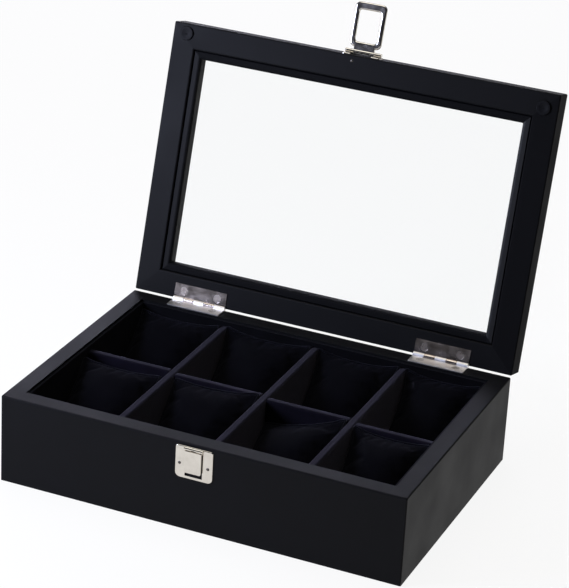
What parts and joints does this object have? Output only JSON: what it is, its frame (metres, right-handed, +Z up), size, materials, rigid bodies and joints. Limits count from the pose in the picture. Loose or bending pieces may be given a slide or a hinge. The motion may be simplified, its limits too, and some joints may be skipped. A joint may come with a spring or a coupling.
{
  "type": "watch box",
  "caption": "Painted wooden watch box with a glazed hinged lid, a swinging hasp loop and velvet compartments that each hold a loose pillow.",
  "frame": {"origin": "middle of the underside, on the surface that the box stands on", "axes": "+X to the right as seen from the front, -Y to the front, +Z up"},
  "size_m": [0.285, 0.2661, 0.2824],
  "materials": {
    "painted_wood": "matt black paint",
    "board": "matt black stain",
    "velvet_board": "short black pile",
    "velvet_pillow": "short black pile",
    "felt": "matt black felt",
    "bumper": "matt",
    "nickel": "bright nickel plate",
    "glass": "clear"
  },
  "bodies": {
    "base": {"base_bottom_panel": "board", "base_front_wall": "painted_wood", "base_left_wall": "painted_wood", "base_rear_wall": "painted_wood", "base_right_wall": "painted_wood", "catch_nails": "nickel", "catch_plate": "nickel", "catch_tongue": "nickel", "divider_cross_1": "velvet_board", "divider_cross_2": "velvet_board", "divider_cross_3": "velvet_board", "divider_short_1": "velvet_board", "divider_short_2": "velvet_board", "divider_short_3": "velvet_board", "divider_short_4": "velvet_board", "floor_lining": "velvet_board", "front_lining": "velvet_board", "hinge_base_screws": "nickel", "hinge_left_base_leaf": "nickel", "hinge_left_pin": "nickel", "hinge_right_base_leaf": "nickel", "hinge_right_pin": "nickel", "left_lining": "velvet_board", "rear_lining": "velvet_board", "right_lining": "velvet_board", "underside_felt": "felt"},
    "lid": {"bead_front": "painted_wood", "bead_left": "painted_wood", "bead_rear": "painted_wood", "bead_right": "painted_wood", "glass_pane": "glass", "hasp_nails": "nickel", "hasp_pin": "nickel", "hasp_plate": "nickel", "hinge_left_lid_leaf": "nickel", "hinge_lid_screws": "nickel", "hinge_right_lid_leaf": "nickel", "lid_bumpers": "bumper", "lid_front_rail": "painted_wood", "lid_left_stile": "painted_wood", "lid_rear_rail": "painted_wood", "lid_right_stile": "painted_wood"},
    "loop": {"hasp_loop": "nickel"},
    "pillow_front_1": {"pillow_front_1": "velvet_pillow"},
    "pillow_front_2": {"pillow_front_2": "velvet_pillow"},
    "pillow_front_3": {"pillow_front_3": "velvet_pillow"},
    "pillow_front_4": {"pillow_front_4": "velvet_pillow"},
    "pillow_rear_1": {"pillow_rear_1": "velvet_pillow"},
    "pillow_rear_2": {"pillow_rear_2": "velvet_pillow"},
    "pillow_rear_3": {"pillow_rear_3": "velvet_pillow"},
    "pillow_rear_4": {"pillow_rear_4": "velvet_pillow"}
  },
  "joints": [
    {"name": "lid_hinge", "type": "hinge", "parent": "base", "child": "lid", "pos_m": [0, 0.0967, 0.0631], "axis": [-1, 0, 0], "range_deg": [-105.3, 0]},
    {"name": "loop_pivot", "type": "hinge", "parent": "lid", "child": "loop", "pos_m": [-0.0022, 0.15526, 0.24987], "axis": [-1, 0, 0], "range_deg": [-92, 0]},
    {"name": "pillow_front_1_lift", "type": "slide", "parent": "base", "child": "pillow_front_1", "axis": [0, 0, 1], "range_m": [0, 0.065]},
    {"name": "pillow_front_2_lift", "type": "slide", "parent": "base", "child": "pillow_front_2", "axis": [0, 0, 1], "range_m": [0, 0.065]},
    {"name": "pillow_front_3_lift", "type": "slide", "parent": "base", "child": "pillow_front_3", "axis": [0, 0, 1], "range_m": [0, 0.065]},
    {"name": "pillow_front_4_lift", "type": "slide", "parent": "base", "child": "pillow_front_4", "axis": [0, 0, 1], "range_m": [0, 0.065]},
    {"name": "pillow_rear_1_lift", "type": "slide", "parent": "base", "child": "pillow_rear_1", "axis": [0, 0, 1], "range_m": [0, 0.065]},
    {"name": "pillow_rear_2_lift", "type": "slide", "parent": "base", "child": "pillow_rear_2", "axis": [0, 0, 1], "range_m": [0, 0.065]},
    {"name": "pillow_rear_3_lift", "type": "slide", "parent": "base", "child": "pillow_rear_3", "axis": [0, 0, 1], "range_m": [0, 0.065]},
    {"name": "pillow_rear_4_lift", "type": "slide", "parent": "base", "child": "pillow_rear_4", "axis": [0, 0, 1], "range_m": [0, 0.065]}
  ]
}
